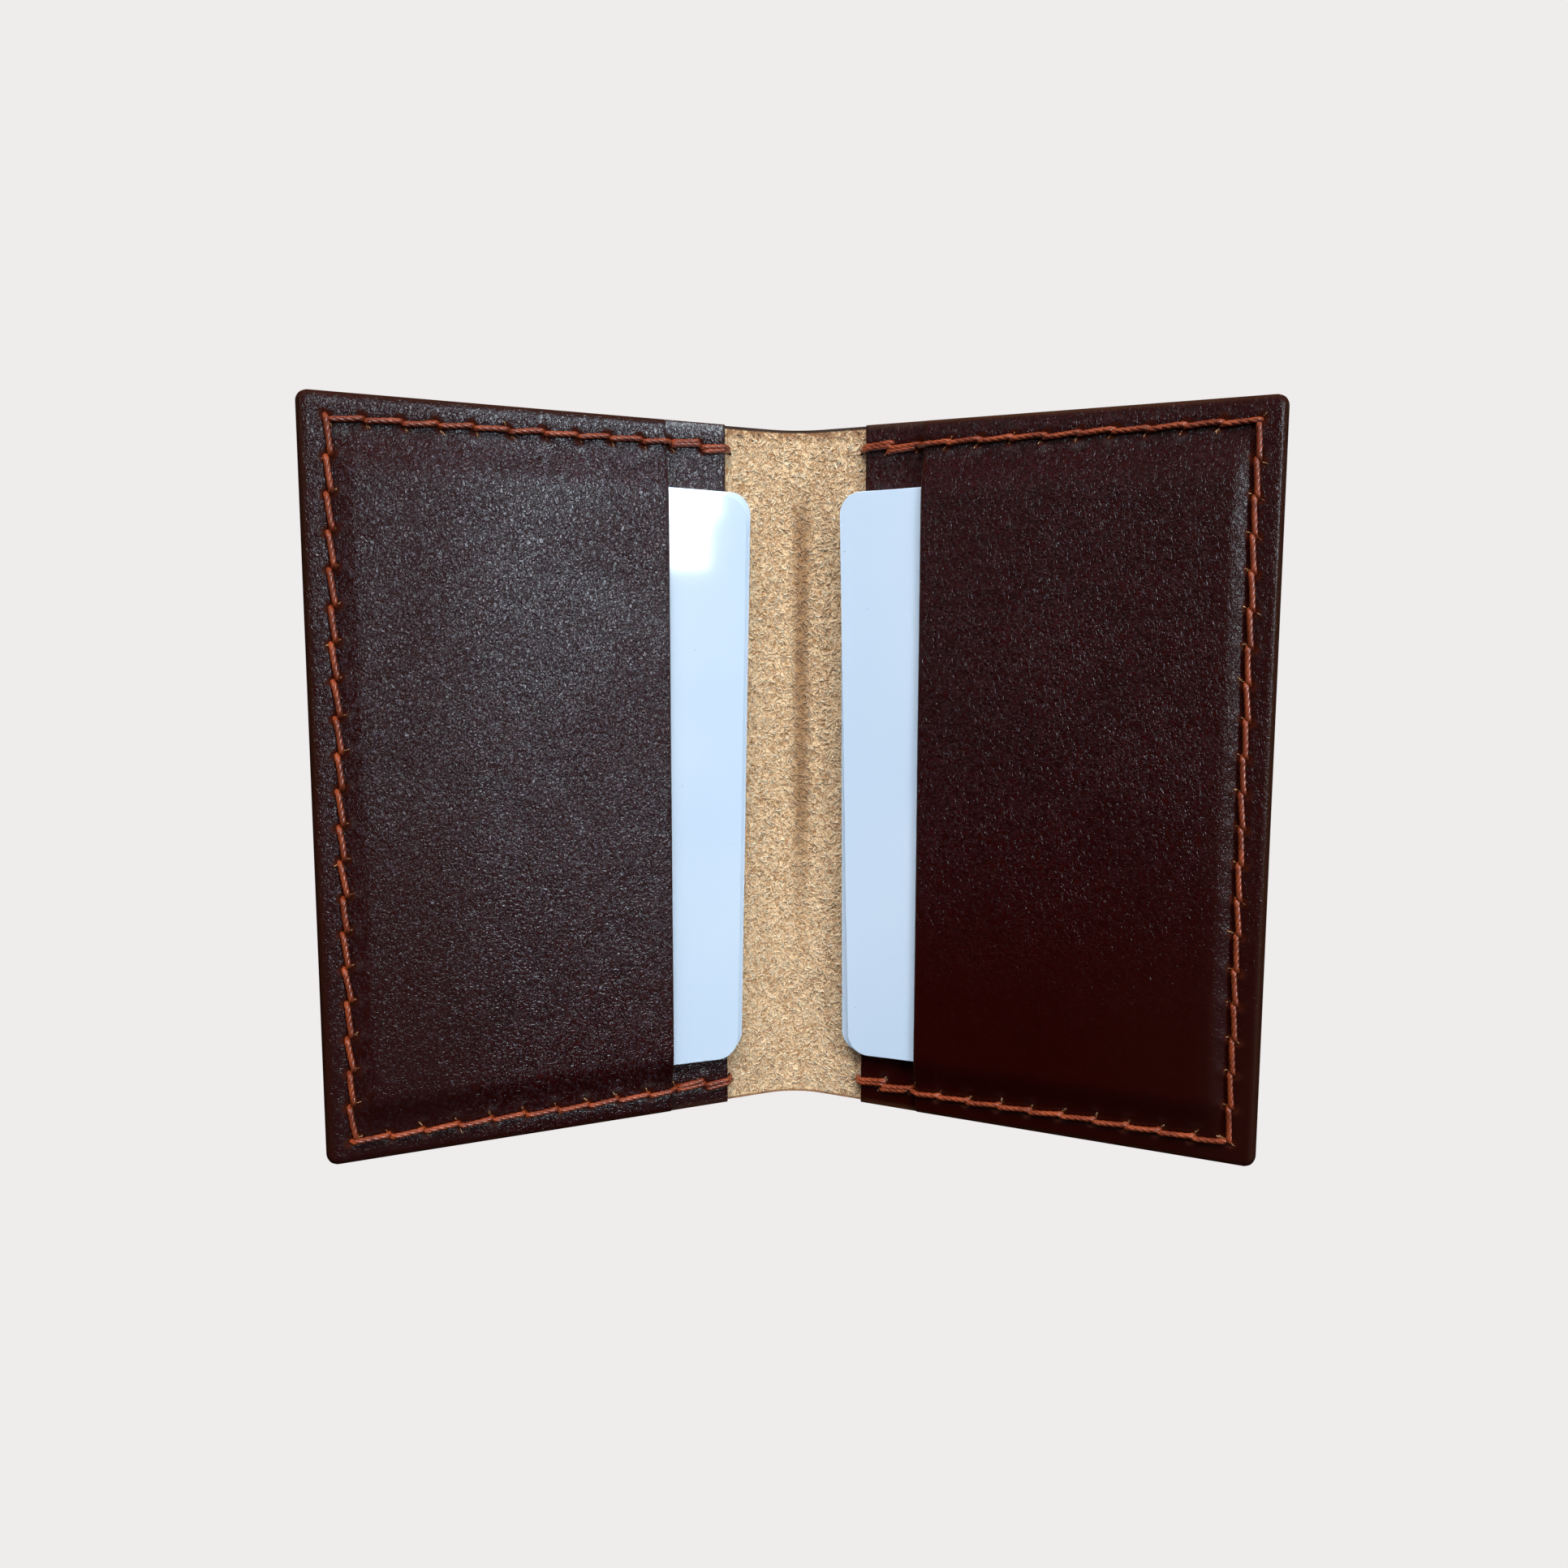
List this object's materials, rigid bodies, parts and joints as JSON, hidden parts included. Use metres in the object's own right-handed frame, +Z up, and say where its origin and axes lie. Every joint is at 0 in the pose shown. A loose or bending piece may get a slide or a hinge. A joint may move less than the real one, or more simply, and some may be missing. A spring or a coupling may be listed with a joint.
{
  "type": "card holder",
  "caption": "Upright bifold card holder in saddle-stitched leather: one shell folded at the spine, each cover with a back pocket and a front pocket that holds blank cards.",
  "frame": {"origin": "on the surface the holder stands on, under the middle of its box", "axes": "+Z up along the spine, +X to the right across the open holder, +Y towards the spine, so the covers open towards -Y"},
  "size_m": [0.1288, 0.0312, 0.1037],
  "materials": {
    "shell_leather": "dark brown vegetable-tanned leather, satin grain outside and raw tan flesh side inside",
    "pocket_leather": "dark brown waxed grain, satin, burnished edges",
    "thread": "waxed rust-brown linen thread",
    "card": "plain white gloss card"
  },
  "bodies": {
    "spine": {"spine_strip": "shell_leather"},
    "left_cover": {"shell_panel_left": "shell_leather", "underlay_left": "pocket_leather", "front_pocket_left": "pocket_leather", "saddle_thread_a_left": "thread", "saddle_thread_b_left": "thread"},
    "right_cover": {"shell_panel_right": "shell_leather", "underlay_right": "pocket_leather", "front_pocket_right": "pocket_leather", "saddle_thread_a_right": "thread", "saddle_thread_b_right": "thread"},
    "card_left_front": {"card_left_front": "card"},
    "card_left_rear": {"card_left_rear": "card"},
    "card_right_front": {"card_right_front": "card"},
    "card_right_rear": {"card_right_rear": "card"}
  },
  "joints": [
    {"name": "fold_left", "type": "hinge", "parent": "spine", "child": "left_cover", "pos_m": [-0.00425, 0.01326, 0], "axis": [0, 0, -1], "range_deg": [-65.6, 24.4]},
    {"name": "fold_right", "type": "hinge", "parent": "spine", "child": "right_cover", "pos_m": [0.00425, 0.01326, 0], "axis": [0, 0, 1], "range_deg": [-65.6, 24.4]},
    {"name": "card_left_front_slide", "type": "slide", "parent": "left_cover", "child": "card_left_front", "axis": [0.9107, 0.4131, 0], "range_m": [-0.0003, 0.008]},
    {"name": "card_left_rear_slide", "type": "slide", "parent": "left_cover", "child": "card_left_rear", "axis": [0.9107, 0.4131, 0], "range_m": [-0.0012, 0.0055]},
    {"name": "card_right_front_slide", "type": "slide", "parent": "right_cover", "child": "card_right_front", "axis": [-0.9107, 0.4131, 0], "range_m": [-0.0005, 0.008]},
    {"name": "card_right_rear_slide", "type": "slide", "parent": "right_cover", "child": "card_right_rear", "axis": [-0.9107, 0.4131, 0], "range_m": [-0.0016, 0.0055]}
  ]
}
